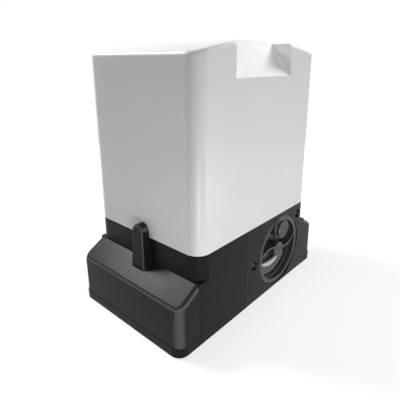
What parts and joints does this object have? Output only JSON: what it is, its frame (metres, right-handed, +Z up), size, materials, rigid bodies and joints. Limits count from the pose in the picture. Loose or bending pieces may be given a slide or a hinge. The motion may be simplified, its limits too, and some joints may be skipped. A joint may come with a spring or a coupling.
{
  "type": "sliding gate motor",
  "caption": "Operator for a sliding gate: upright motor under a domed hood, worm gear, rack pinion at the back and a hand release disc in front.",
  "frame": {"origin": "on the underside, on the upright axis of the motor, midway between the casting's front and back", "axes": "+X to the right of someone facing the release disc, +Y towards the pinion and the gate, +Z up along the motor shaft"},
  "size_m": [0.275, 0.1942, 0.3],
  "materials": {
    "hood_plastic": "white satin moulded plastic",
    "cast_body": "dark grey paint on die-cast aluminium",
    "grey_plastic": "dark grey moulded plastic",
    "disc_plastic": "near black moulded plastic",
    "label_plate": "pale plate, bare",
    "cap_plastic": "grey moulded plastic",
    "bright_steel": "machined steel",
    "zinc_steel": "zinc plated",
    "bronze": "machined bronze",
    "raw_casting": "die-cast aluminium",
    "lamination": "stacked steel sheet",
    "copper": "varnished copper wire",
    "black_rubber": "moulded rubber",
    "circuit_board": "green solder mask",
    "black_plastic": "black moulded plastic",
    "green_plastic": "green terminal plastic",
    "pale_plastic": "off-white moulded plastic",
    "bright_can": "drawn aluminium can",
    "lock_brass": "machined brass"
  },
  "bodies": {
    "operator": {"base_casting": "cast_body", "gear_cover": "raw_casting", "gear_cover_screws": "zinc_steel", "hood_seal": "black_rubber", "release_panel": "grey_plastic", "panel_screws": "zinc_steel", "front_bearing": "bright_steel", "rear_bearing": "bright_steel", "foot_bearing": "bright_steel", "worm_bearing": "bright_steel", "motor_bearing": "bright_steel", "bearing_circlip": "bright_steel", "shaft_seal": "black_rubber", "stator_core": "lamination", "stator_windings": "copper", "motor_lower_shield": "raw_casting", "motor_upper_shield": "raw_casting", "motor_bolts": "zinc_steel", "encoder_sensor": "black_plastic", "board_holder": "pale_plastic", "control_board": "circuit_board", "terminal_blocks": "green_plastic", "relays": "black_plastic", "board_capacitors": "bright_can", "fuse_holder": "black_plastic", "processor": "black_plastic", "run_capacitor": "pale_plastic", "capacitor_clip": "zinc_steel", "transformer_core": "lamination", "transformer_coil": "copper", "cable_grommet": "black_rubber", "earth_screw": "lock_brass", "oil_plug": "zinc_steel", "limit_sensor": "black_plastic"},
    "hood_cover": {"hood": "hood_plastic"},
    "left_cover": {"left_side_cover": "grey_plastic"},
    "right_cover": {"right_side_cover": "grey_plastic"},
    "rotor": {"worm_shaft": "bright_steel", "rotor_core": "lamination", "encoder_disc": "black_plastic"},
    "output": {"output_shaft": "bright_steel", "worm_wheel": "bronze", "wheel_hub": "bright_steel", "pinion": "zinc_steel", "pinion_key": "bright_steel", "pinion_washer": "zinc_steel", "pinion_bolt": "zinc_steel"},
    "clutch": {"clutch_dog": "bright_steel", "cross_pin": "bright_steel", "draw_spindle": "bright_steel"},
    "screw": {"release_screw": "bright_steel", "spindle_clip": "bright_steel"},
    "hand_disc": {"release_disc": "disc_plastic", "disc_label": "label_plate", "lock_cap_pin": "bright_steel"},
    "lock": {"lock_cylinder": "lock_brass"},
    "dust_cap": {"lock_cap": "cap_plastic"}
  },
  "joints": [
    {"name": "hood_lift", "type": "slide", "parent": "operator", "child": "hood_cover", "axis": [0, 0, 1], "range_m": [0, 0.15]},
    {"name": "left_cover_off", "type": "slide", "parent": "operator", "child": "left_cover", "axis": [-1, 0, 0], "range_m": [0, 0.04]},
    {"name": "right_cover_off", "type": "slide", "parent": "operator", "child": "right_cover", "axis": [1, 0, 0], "range_m": [0, 0.04]},
    {"name": "worm_spin", "type": "hinge", "parent": "operator", "child": "rotor", "pos_m": [0, 0, 0.1], "axis": [0, 0, 1], "continuous": true},
    {"name": "output_spin", "type": "hinge", "parent": "operator", "child": "output", "pos_m": [0.045, 0, 0.0475], "axis": [0, 1, 0], "continuous": true},
    {"name": "release_turn", "type": "hinge", "parent": "operator", "child": "hand_disc", "pos_m": [0.045, -0.06, 0.0475], "axis": [0, 1, 0], "range_deg": [0, 180]},
    {"name": "release_screw_slide", "type": "slide", "parent": "operator", "child": "screw", "axis": [0, -1, 0], "range_m": [0, 0.006]},
    {"name": "clutch_slide", "type": "slide", "parent": "output", "child": "clutch", "axis": [0, -1, 0], "range_m": [0, 0.006]},
    {"name": "lock_turn", "type": "hinge", "parent": "hand_disc", "child": "lock", "pos_m": [0.045, -0.075, 0.0774], "axis": [0, 1, 0], "range_deg": [0, 90]},
    {"name": "dust_cap_swing", "type": "hinge", "parent": "hand_disc", "child": "dust_cap", "pos_m": [0.036, -0.0858, 0.0774], "axis": [0, 1, 0], "range_deg": [0, 150]}
  ],
  "couplings": [
    {"joint": "output_spin", "follows": "worm_spin", "ratio": -0.027778},
    {"joint": "release_screw_slide", "follows": "release_turn", "m_per_rad": 0.0019098},
    {"joint": "clutch_slide", "follows": "release_turn", "m_per_rad": 0.0019098}
  ]
}
